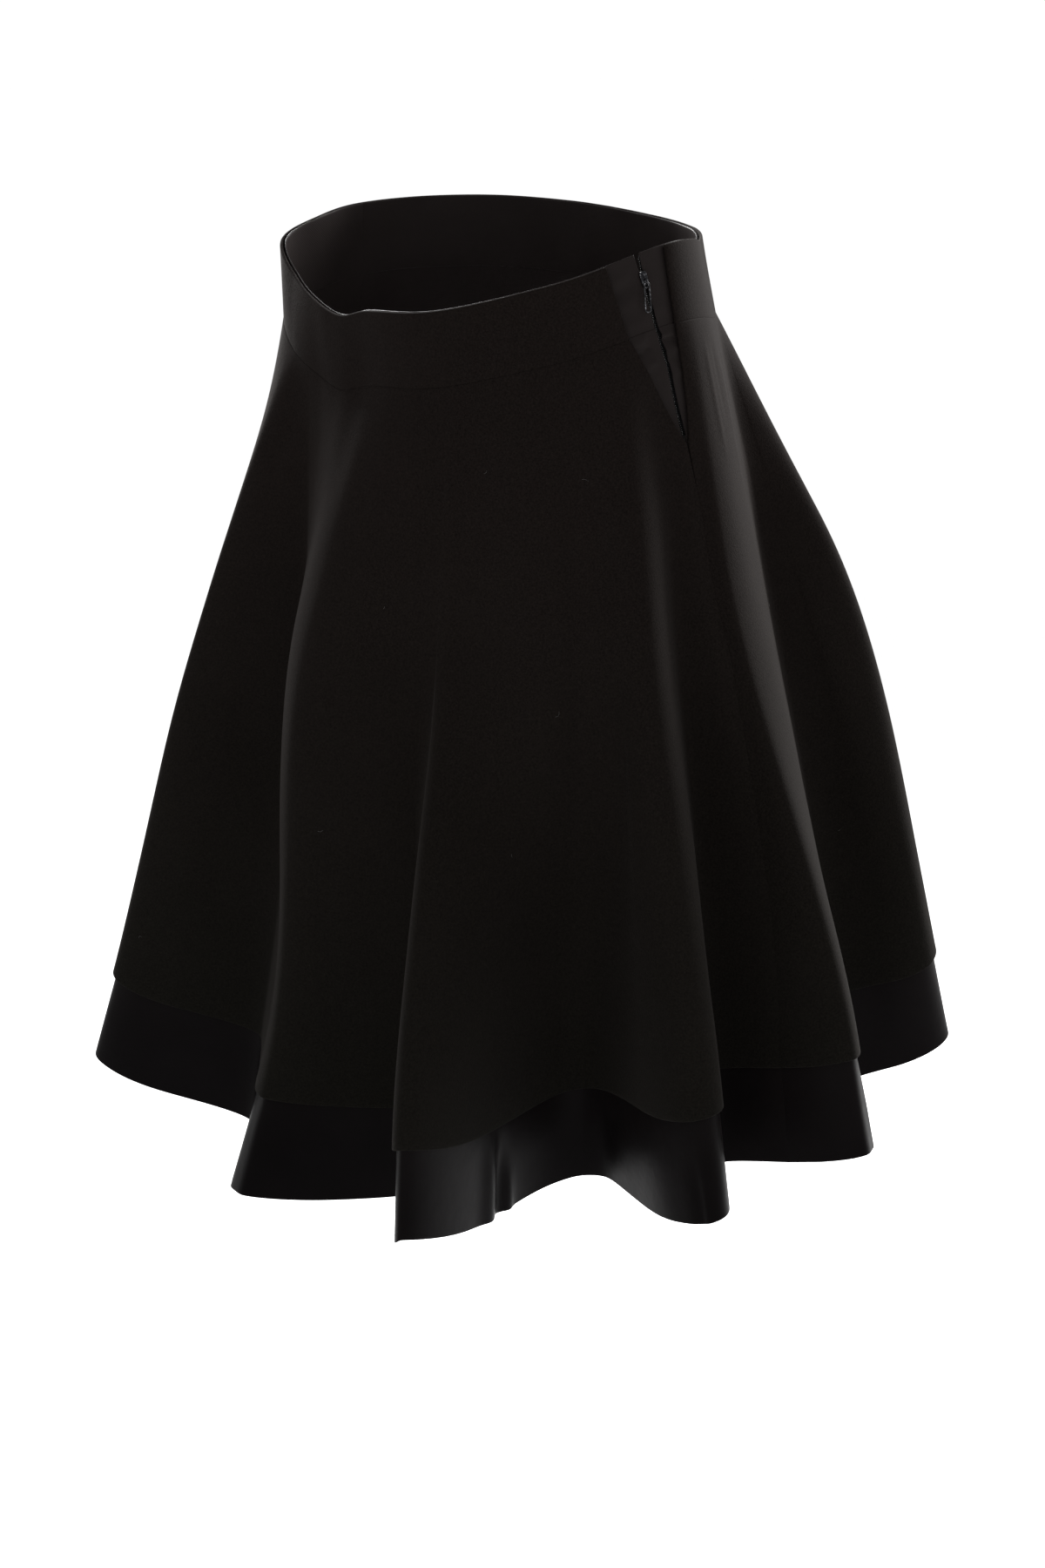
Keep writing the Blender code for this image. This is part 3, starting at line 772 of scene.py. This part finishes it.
def mix(nodes, links, factor, first, second, kind="MIX"):
    """Two colours mixed by a socket or a number."""
    made = nodes.new("ShaderNodeMix")
    made.data_type = "RGBA"
    made.blend_type = kind
    if isinstance(factor, (int, float)):
        made.inputs["Factor"].default_value = factor
    else:
        links.new(factor, made.inputs["Factor"])
    links.new(first, made.inputs["A"])
    links.new(second, made.inputs["B"])
    return made.outputs["Result"]


def painted_shade_share(nodes, links, place):
    """0 at the hems and 1 at the waist seam, for the painted shade and light down the cloth."""
    split = nodes.new("ShaderNodeSeparateXYZ")
    links.new(place, split.inputs["Vector"])
    share = nodes.new("ShaderNodeMapRange")
    share.inputs["From Min"].default_value = PAINTED_SHADE_LOW
    share.inputs["From Max"].default_value = PAINTED_SHADE_HIGH
    links.new(split.outputs["Z"], share.inputs["Value"])
    return share.outputs["Result"]


def bump(nodes, links, height, distance, strength, normal=None):
    """Bump of a height in metres."""
    made = nodes.new("ShaderNodeBump")
    made.inputs["Strength"].default_value = strength
    made.inputs["Distance"].default_value = distance
    links.new(height, made.inputs["Height"])
    if normal is not None:
        links.new(normal, made.inputs["Normal"])
    return made.outputs["Normal"]


def wave(nodes, links, source, scale, distortion, direction):
    """Band wave along one direction of the map."""
    made = nodes.new("ShaderNodeTexWave")
    made.wave_type = "BANDS"
    made.bands_direction = direction
    made.inputs["Scale"].default_value = scale
    made.inputs["Distortion"].default_value = distortion
    made.inputs["Detail"].default_value = 1.0
    links.new(source, made.inputs["Vector"])
    return made.outputs["Fac"]


def wool_material():
    """Matte black crepe: pebbled weave, a soft fuzz, and painted shade that darkens it towards
    the hem.
    """
    made, nodes, links, shader = new_material("wool_crepe")
    place = nodes.new("ShaderNodeTexCoord").outputs["Object"]
    slow = noise(nodes, links, place, 9.0, 3.0)
    pebble = noise(nodes, links, place, 900.0, 3.0, 0.6)
    broad_shades = ((0.35, (0.0046, 0.0034, 0.0031)), (0.7, (0.0064, 0.0048, 0.0044)))
    broad = ramp(nodes, links, slow, broad_shades)
    grain_shades = ((0.3, (0.0026, 0.0020, 0.0019)), (0.75, (0.0106, 0.0082, 0.0074)))
    grain = ramp(nodes, links, pebble, grain_shades)
    cloth_colour = mix(nodes, links, 0.55, broad, grain)
    share = painted_shade_share(nodes, links, place)
    # Painted shade: the colour is multiplied darker, and a little greener, towards the hems, and
    # a touch lighter near the waist.
    fall = ramp(nodes, links, share, ((0.0, (0.76, 0.94, 0.84)), (0.85, (1.06, 1.06, 1.04))))
    links.new(mix(nodes, links, 1.0, cloth_colour, fall, "MULTIPLY"), shader.inputs["Base Color"])
    shader.inputs["Roughness"].default_value = 0.95
    shader.inputs["Specular IOR Level"].default_value = 0.02
    shader.inputs["Sheen Weight"].default_value = 0.018
    shader.inputs["Sheen Roughness"].default_value = 0.35
    shader.inputs["Sheen Tint"].default_value = (1.0, 0.90, 0.86, 1.0)
    crepe = bump(nodes, links, pebble, 0.0004, 0.6)
    fine = noise(nodes, links, place, 2600.0, 2.0, 0.6)
    links.new(bump(nodes, links, fine, 0.0002, 0.5, crepe), shader.inputs["Normal"])
    return made


def satin_material():
    """Black satin: a smooth fine weave, with painted shade at the hem and painted light up at the
    zip.
    """
    made, nodes, links, shader = new_material("satin_black")
    coords = nodes.new("ShaderNodeTexCoord")
    slow = noise(nodes, links, coords.outputs["Object"], 14.0, 3.0)
    # Painted shade and light: the satin's colour goes from dark at the hems to lighter at the
    # waist seam.
    hem_painted_shade_colours = ((0.3, (0.0020, 0.0016, 0.0017)), (0.75, (0.0030, 0.0024, 0.0026)))
    low = ramp(nodes, links, slow, hem_painted_shade_colours)
    waist_painted_light_colours = ((0.3, (0.0100, 0.0080, 0.0077)), (0.75, (0.0140, 0.0115, 0.0111)))
    high = ramp(nodes, links, slow, waist_painted_light_colours)
    share = painted_shade_share(nodes, links, coords.outputs["Object"])
    links.new(mix(nodes, links, share, low, high), shader.inputs["Base Color"])
    shader.inputs["Roughness"].default_value = 0.38
    shader.inputs["Specular IOR Level"].default_value = 0.016
    weave = wave(nodes, links, coords.outputs["UV"], 420.0, 0.6, "DIAGONAL")
    ripple = noise(nodes, links, coords.outputs["Object"], 120.0, 2.0)
    soft = bump(nodes, links, ripple, 0.0006, 0.25)
    links.new(bump(nodes, links, weave, 0.00008, 0.4, soft), shader.inputs["Normal"])
    return made


def tape_material():
    """Black zip tape: woven ribs across its length."""
    made, nodes, links, shader = new_material("zip_tape_weave")
    coords = nodes.new("ShaderNodeTexCoord")
    ribs = wave(nodes, links, coords.outputs["UV"], 320.0, 0.3, "Y")
    links.new(
        ramp(nodes, links, ribs, ((0.2, (0.004, 0.004, 0.0045)), (0.8, (0.014, 0.013, 0.014)))),
        shader.inputs["Base Color"],
    )
    shader.inputs["Roughness"].default_value = 0.8
    shader.inputs["Specular IOR Level"].default_value = 0.04
    links.new(bump(nodes, links, ribs, 0.00025, 0.7), shader.inputs["Normal"])
    return made


def metal_material(name, shades):
    """Nickel, with painted highlight on the outward edges and painted shade in the hollows, and
    uneven wear.
    """
    made, nodes, links, shader = new_material(name)
    place = nodes.new("ShaderNodeTexCoord").outputs["Object"]
    worn = noise(nodes, links, place, 700.0, 4.0, 0.6)
    # Painted highlight and shade: the colour is lighter where the metal bends outwards and darker
    # in its hollows; the noise adds uneven wear.
    bend = nodes.new("ShaderNodeNewGeometry").outputs["Pointiness"]
    above = arithmetic(nodes, links, "SUBTRACT", bend, 0.5)
    edges = arithmetic(nodes, links, "MULTIPLY", above, METAL_HIGHLIGHT_GAIN)
    wear_and_painted_edge_light = arithmetic(nodes, links, "ADD", edges, worn)
    links.new(ramp(nodes, links, wear_and_painted_edge_light, shades), shader.inputs["Base Color"])
    shader.inputs["Metallic"].default_value = 1.0
    links.new(
        ramp(nodes, links, worn, ((0.3, (0.34, 0.34, 0.34)), (0.75, (0.2, 0.2, 0.2)))),
        shader.inputs["Roughness"],
    )
    links.new(bump(nodes, links, worn, 0.00004, 0.3), shader.inputs["Normal"])
    return made


def coil_material():
    """Black nylon of the zip's coil."""
    made, nodes, links, shader = new_material("zip_coil_nylon")
    place = nodes.new("ShaderNodeTexCoord").outputs["Object"]
    worn = noise(nodes, links, place, 900.0, 2.0)
    links.new(
        ramp(nodes, links, worn, ((0.3, (0.003, 0.003, 0.003)), (0.7, (0.008, 0.008, 0.008)))),
        shader.inputs["Base Color"],
    )
    shader.inputs["Roughness"].default_value = 0.5
    shader.inputs["Specular IOR Level"].default_value = 0.06
    return made


def lint_material():
    """Pale grey fibres."""
    made, _, _, shader = new_material("lint_grey")
    shader.inputs["Base Color"].default_value = (0.045, 0.042, 0.042, 1.0)
    shader.inputs["Roughness"].default_value = 0.9
    return made


WOOL = wool_material()
SATIN = satin_material()
TAPE = tape_material()
COIL = coil_material()
SLIDER_METAL = metal_material("dark_nickel", SLIDER_SHADES)
PULL_METAL = metal_material("pull_nickel", PULL_SHADES)
LINT = lint_material()


def finish_piece(piece, material, body="skirt", stands_for=()):
    """Gives a piece its look and the body that it rides on."""
    piece.data.materials.append(material)
    if stands_for:
        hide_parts(*stands_for)
    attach(piece, body)


def arc_length(surface, places, down):
    """Length along the cloth of one row."""
    points = surface(places(down), down)
    return float(np.linalg.norm(np.diff(points, axis=0), axis=1).sum())


# The cloth: waistband, wool panels, satin band and underskirt
band_rows = rows(*BAND_ROWS)
wool_rows = rows(*WOOL_ROWS)
satin_rows = rows(*SATIN_ROWS)
for half, side in (("front", FRONT), ("back", BACK)):
    edge = FRONT_EDGE if side == FRONT else BACK_EDGE
    round_band = columns(band_points, side, edge, OPENING_SPARE)
    piece = cloth(
        "wool_band_" + half, band_points, round_band, band_rows, 0.0, BAND_WALL, (), BAND_SWAY
    )
    finish_piece(piece, WOOL, stands_for=("band_" + half,))
    width = arc_length(band_points, round_band, BAND_DEPTH / 2)

    round_panel = columns(panel_points, side, edge, OPENING_SPARE)
    piece = cloth(
        "wool_panel_" + half,
        panel_points,
        round_panel,
        wool_rows,
        0.0,
        WOOL_WALL,
        WOOL_CREASES,
        PANEL_SWAY,
    )
    finish_piece(piece, WOOL, stands_for=(half + "_panel",))
    top, bottom = (arc_length(panel_points, round_panel, wool_rows[i]) for i in (0, -1))

    round_facing = columns(band_points, side, ZIP_LINE, SATIN_SPARE)
    piece = cloth(
        "satin_facing_" + half,
        band_points,
        round_facing,
        band_rows,
        BAND_WALL + LAYER_GAP,
        SATIN_WALL,
        FACING_CREASES,
        BAND_SWAY,
    )
    finish_piece(piece, SATIN, stands_for=("satin_band_" + half,))
    width = arc_length(band_points, round_facing, BAND_DEPTH / 2)

    round_under = columns(panel_points, side, ZIP_LINE, SATIN_SPARE)
    piece = cloth(
        "satin_underskirt_" + half,
        panel_points,
        round_under,
        satin_rows,
        WOOL_WALL + LAYER_GAP,
        SATIN_WALL,
        WOOL_CREASES + SATIN_CREASES + PLACKET_CREASES,
        PANEL_SWAY,
    )
    finish_piece(piece, SATIN, stands_for=("underskirt_" + half,))
    top, bottom = (arc_length(panel_points, round_under, satin_rows[i]) for i in (0, -1))


# The zip: tapes, coil, slider and ring pull
def zip_points(places, down):
    """The cloth's surface with the waist seam's bend taken out."""
    if down <= BAND_DEPTH - ZIP_BEND_REACH:
        return band_points(places, down)
    if down >= BAND_DEPTH + ZIP_BEND_REACH:
        return panel_points(places, down)
    upper = band_points(places, BAND_DEPTH - ZIP_BEND_REACH)
    lower = panel_points(places, BAND_DEPTH + ZIP_BEND_REACH)
    share = (down - BAND_DEPTH + ZIP_BEND_REACH) / (2 * ZIP_BEND_REACH)
    return upper * (1 - share) + lower * share


def half_slot(down):
    """Half the gap between the tapes: open above the slider."""
    downs, halves = zip(*ZIP_SLOTS)
    return float(np.interp(down, downs, halves))


def tape_columns(side):
    """Places across one tape for any row, with rounded edges."""
    steps = np.array(EDGE_STEPS) * EDGE_ROUND

    def at(down):
        inner = half_slot(down)
        inside = np.linspace(inner + EDGE_ROUND, TAPE_WIDTH - EDGE_ROUND, TAPE_COLUMNS)[1:-1]
        widths = np.concatenate((inner + steps, inside, (TAPE_WIDTH - steps)[::-1]))
        middle = opening(down, ZIP_LINE)
        turns = [middle + side * degrees_of(width, down) for width in widths]
        placed = np.array([place_at(turn) for turn in turns])
        return placed if side > 0 else placed[::-1]

    return at


def zip_frame(down, depth, follow_zip):
    """Frame on the zip line: x across, y up, z out of the cloth."""
    place = place_at(opening(down, ZIP_LINE))
    low, high = (0.0, BAND_DEPTH) if down < BAND_DEPTH else (BAND_DEPTH, SATIN_HEM)
    normal = Vector(own_normals(zip_points, np.array([place]), down, low, high)[0])
    above = place_at(opening(down - ZIP_REACH, ZIP_LINE)) if follow_zip else place
    below = place_at(opening(down + ZIP_REACH, ZIP_LINE)) if follow_zip else place
    upper = Vector(zip_points(np.array([above]), down - ZIP_REACH)[0])
    lower = Vector(zip_points(np.array([below]), down + ZIP_REACH)[0])
    up = upper - lower
    up = (up - normal * up.dot(normal)).normalized()
    turn = Matrix((up.cross(normal), up, normal)).transposed()
    base = Vector(zip_points(np.array([place]), down)[0]) - normal * depth
    return Matrix.Translation(base) @ turn.to_4x4()


def store(name, build, at):
    """Stores a finished mesh, moved into place."""
    bmesh.ops.recalc_face_normals(build, faces=build.faces)
    build.transform(at)
    mesh = bpy.data.meshes.new(name)
    build.to_mesh(mesh)
    build.free()
    mesh.shade_smooth()
    made = bpy.data.objects.new(name, mesh)
    bpy.context.collection.objects.link(made)
    return made


def bridge_rings(build, rings, closed=False):
    """Skin between rings of the same number of points, capped if open."""
    made = [[build.verts.new(point) for point in ring] for ring in rings]
    pairs = list(zip(made, made[1:]))
    if closed:
        pairs.append((made[-1], made[0]))
    else:
        build.faces.new(made[0])
        build.faces.new(made[-1])
    for first, second in pairs:
        for index, vert in enumerate(first):
            after = (index + 1) % len(first)
            build.faces.new((vert, first[after], second[after], second[index]))


def wire_rings(points, radius, sides, closed):
    """Rings of a round wire along points that lie in one plane."""
    count = len(points)
    plane = (points[1] - points[0]).cross(points[count // 2] - points[0]).normalized()
    rings = []
    for index, point in enumerate(points):
        before = points[index - 1] if closed or index else point
        after = points[(index + 1) % count] if closed or index < count - 1 else point
        out = (after - before).normalized().cross(plane)
        ring = []
        for side in range(sides):
            turn = 2 * math.pi * side / sides
            ring.append(point + (out * math.cos(turn) + plane * math.sin(turn)) * radius)
        rings.append(ring)
    return rings


def coil(name, side):
    """Small teeth along one tape, half a pitch beside the other tape's."""
    build = bmesh.new()
    count = int((TAPE_END - TAPE_START) / TOOTH_PITCH)
    for index in range(count):
        down = TAPE_START + (index + TOOTH_STAGGER * (1 + side)) * TOOTH_PITCH
        at = zip_frame(down, TAPE_DEPTH - TOOTH_RADIUS * TOOTH_SINK, True)
        centre = side * (half_slot(down) + TOOTH_SET)
        rings = []
        for along, size in TOOTH_FORM:
            ring = []
            for step in range(TOOTH_SIDES):
                turn = 2 * math.pi * step / TOOTH_SIDES
                point = Vector((0.0, math.cos(turn), math.sin(turn))) * TOOTH_RADIUS * size
                point.x = centre + along * TOOTH_LENGTH / 2
                ring.append(at @ point)
            rings.append(ring)
        bridge_rings(build, rings)
    return store(name, build, Matrix.Identity(4))


def plate_ring(inset, height):
    """One level of the slider's plate: a rounded shield, broad at the top."""
    ring = []
    for step in range(PLATE_STEPS):
        turn = 2 * math.pi * step / PLATE_STEPS
        square = 2 / PLATE_POWER
        x = math.copysign(abs(math.cos(turn)) ** square, math.cos(turn))
        y = math.copysign(abs(math.sin(turn)) ** square, math.sin(turn))
        half = SLIDER_WIDTH / 2 * (1 - PLATE_TAPER * (1 - y) / 2) - inset
        ring.append(Vector((x * half, y * (SLIDER_LENGTH / 2 - inset), height)))
    return ring


def slider_body(name, at):
    """Plate with rounded edges, the neck behind it and the wire bridge on it."""
    build = bmesh.new()
    low, high = SLIDER_LIFT, SLIDER_LIFT + SLIDER_THICK
    rings = [plate_ring(inset, low + rise) for inset, rise in PLATE_LOWER]
    rings += [plate_ring(inset, high - drop) for inset, drop in PLATE_UPPER]
    bridge_rings(build, rings)
    half, reach = NECK_WIDTH / 2, SLIDER_LENGTH * NECK_SHARE
    corners = ((-half, -reach), (half, -reach), (half, reach), (-half, reach))
    heights = (low - NECK_DEPTH, low + SLIDER_THICK / 2)
    bridge_rings(build, [[Vector((x, y, height)) for x, y in corners] for height in heights])
    points = []
    for step in range(BRIDGE_STEPS + 1):
        turn = math.pi * step / BRIDGE_STEPS
        along = -BRIDGE_DROP - BRIDGE_REACH * math.cos(turn)
        points.append(Vector((0.0, along, high + BRIDGE_RISE * math.sin(turn))))
    points.insert(0, points[0] - Vector((0.0, 0.0, SLIDER_THICK / 2)))
    points.append(points[-1] - Vector((0.0, 0.0, SLIDER_THICK / 2)))
    bridge_rings(build, wire_rings(points, BRIDGE_WIRE, BRIDGE_SIDES, False))
    return store(name, build, at)


def pull_ring(name, slider_at, hang_at):
    """Drop-shaped wire loop that hangs from the slider's bridge."""
    right = [(PULL_TOP_HALF * share, y) for share, y in PULL_SHOULDER]
    side_high = PULL_SHOULDER[-1][1]
    side_low = -(PULL_LENGTH - PULL_LOW_HALF)
    for share in PULL_SHARES:
        half = PULL_TOP_HALF + (PULL_LOW_HALF - PULL_TOP_HALF) * share
        right.append((half, side_high + (side_low - side_high) * share))
    for step in range(1, PULL_STEPS):
        turn = math.pi / 2 * step / PULL_STEPS
        right.append((PULL_LOW_HALF * math.cos(turn), side_low - PULL_LOW_HALF * math.sin(turn)))
    outline = right + [(0.0, -PULL_LENGTH)] + [(-x, y) for x, y in reversed(right)]
    build = bmesh.new()
    points = [Vector((x, y, 0.0)) for x, y in outline]
    bridge_rings(build, wire_rings(points, PULL_WIRE, PULL_SIDES, True), closed=True)
    pivot = Vector((0.0, -BRIDGE_DROP - PIVOT_DROP, SLIDER_LIFT + SLIDER_THICK + PIVOT_RISE))
    at = Matrix.Translation(slider_at @ pivot) @ hang_at.to_3x3().to_4x4()
    return store(name, build, at)


for half, side in (("front", FRONT), ("back", BACK)):
    tape = cloth(
        "tape_" + half,
        zip_points,
        tape_columns(side),
        rows(*TAPE_ROWS),
        TAPE_DEPTH,
        TAPE_WALL,
        (),
        TAPE_SWAY,
    )
    finish_piece(tape, TAPE, stands_for=("zip_tape_" + half,))
    finish_piece(coil("coil_" + half, side), COIL)

satin_face = BAND_WALL + LAYER_GAP
slider_frame = zip_frame(SLIDER_DOWN, satin_face, True)
body = slider_body("slider_body", slider_frame)
finish_piece(body, SLIDER_METAL, stands_for=("zip_slider",))
ring = pull_ring("pull_ring", slider_frame, zip_frame(SLIDER_DOWN, satin_face, False))
finish_piece(ring, PULL_METAL, body="pull", stands_for=("zip_pull",))


# A little lint on the wool
def fibre(build, angle, down, length, lean, bow):
    """One curved hair that lies on the wool."""
    surface = band_points if down < BAND_DEPTH else panel_points
    low, high = (0.0, BAND_DEPTH) if down < BAND_DEPTH else (BAND_DEPTH, WOOL_HEM)
    place = np.array([place_at(angle)])
    normal = Vector(outward(surface, place, down, low, high)[0])
    centre = Vector(surface(place, down)[0]) + normal * LINT_LIFT
    side = Vector((0.0, 0.0, 1.0)).cross(normal).normalized()
    along = side * math.cos(lean) + normal.cross(side) * math.sin(lean)
    across = normal.cross(along)
    points = []
    for step in range(2 * LINT_STEPS + 1):
        share = step / LINT_STEPS - 1
        aside = across * (bow * (1 - share * share))
        points.append(centre + along * (length / 2 * share) + aside)
    bridge_rings(build, wire_rings(points, LINT_RADIUS, LINT_SIDES, False))


lint_build = bmesh.new()
chance = random.Random(SEED)
lint_places = list(LINT_SEEN)
for _ in range(LINT_HIDDEN):
    hidden_angle = chance.uniform(*LINT_HIDDEN_ANGLES)
    lint_places.append((hidden_angle, chance.uniform(*LINT_HIDDEN_DOWNS)))
for angle, down in lint_places:
    length = chance.uniform(*LINT_LENGTHS)
    bow = chance.choice((-1, 1)) * chance.uniform(*LINT_BOWS) * length
    fibre(lint_build, angle, down, length, chance.uniform(0.0, math.pi), bow)
finish_piece(store("lint", lint_build, Matrix.Identity(4)), LINT)


# Camera, floor and light
def look_from(turn, far, side, height, down):
    """Camera place and turn, seen from a side of the wearer's front."""
    heading = math.radians(turn)
    away = Vector((math.sin(heading), -math.cos(heading), 0.0))
    right = Vector((math.cos(heading), math.sin(heading), 0.0))
    place = away * far + right * side + Vector((0.0, 0.0, height))
    return place, (math.radians(90.0 - down), 0.0, heading)


lens = bpy.data.cameras.new("camera")
lens.lens = CAMERA_LENS
lens.sensor_width = CAMERA_SENSOR
camera = bpy.data.objects.new("camera", lens)
camera.location, camera.rotation_euler = look_from(
    CAMERA_TURN, CAMERA_FAR, CAMERA_SIDE, CAMERA_HEIGHT, CAMERA_DOWN
)
bpy.context.collection.objects.link(camera)
bpy.context.scene.camera = camera


def disc(name, radius, height, colour):
    """Round pale floor."""
    build = bmesh.new()
    bmesh.ops.create_circle(build, cap_ends=True, radius=radius, segments=FLOOR_SEGMENTS)
    bmesh.ops.translate(build, verts=build.verts, vec=(0.0, 0.0, height))
    mesh = bpy.data.meshes.new(name)
    build.to_mesh(mesh)
    build.free()
    made = bpy.data.objects.new(name, mesh)
    bpy.context.collection.objects.link(made)
    stuff, _, _, shader = new_material(name)
    shader.inputs["Base Color"].default_value = (*colour, 1.0)
    shader.inputs["Roughness"].default_value = 0.9
    shader.inputs["Specular IOR Level"].default_value = 0.0
    mesh.materials.append(stuff)


disc("floor", FLOOR_RADIUS, FLOOR_HEIGHT, FLOOR_COLOUR)


def softbox(name, turn, far, height, size, power, aim_height):
    """Area light on one side of the wearer, aimed at the skirt."""
    data = bpy.data.lights.new(name, "AREA")
    data.shape = "RECTANGLE"
    data.size, data.size_y = size
    data.energy = power
    made = bpy.data.objects.new(name, data)
    heading = math.radians(turn)
    made.location = (math.sin(heading) * far, -math.cos(heading) * far, height)
    way = Vector((0.0, 0.0, aim_height)) - made.location
    made.rotation_euler = way.to_track_quat("-Z", "Y").to_euler()
    bpy.context.collection.objects.link(made)


for label, beside, far, height, size, power, aim_height in SOFTBOXES:
    softbox(label, CAMERA_TURN + beside, far, height, size, power, aim_height)

world = bpy.data.worlds.new("studio")
bpy.context.scene.world = world
world.use_nodes = True
background = world.node_tree.nodes["Background"]
background.inputs["Color"].default_value = (1.0, 1.0, 1.0, 1.0)
background.inputs["Strength"].default_value = WORLD_STRENGTH
bpy.context.scene.view_settings.view_transform = "Standard"
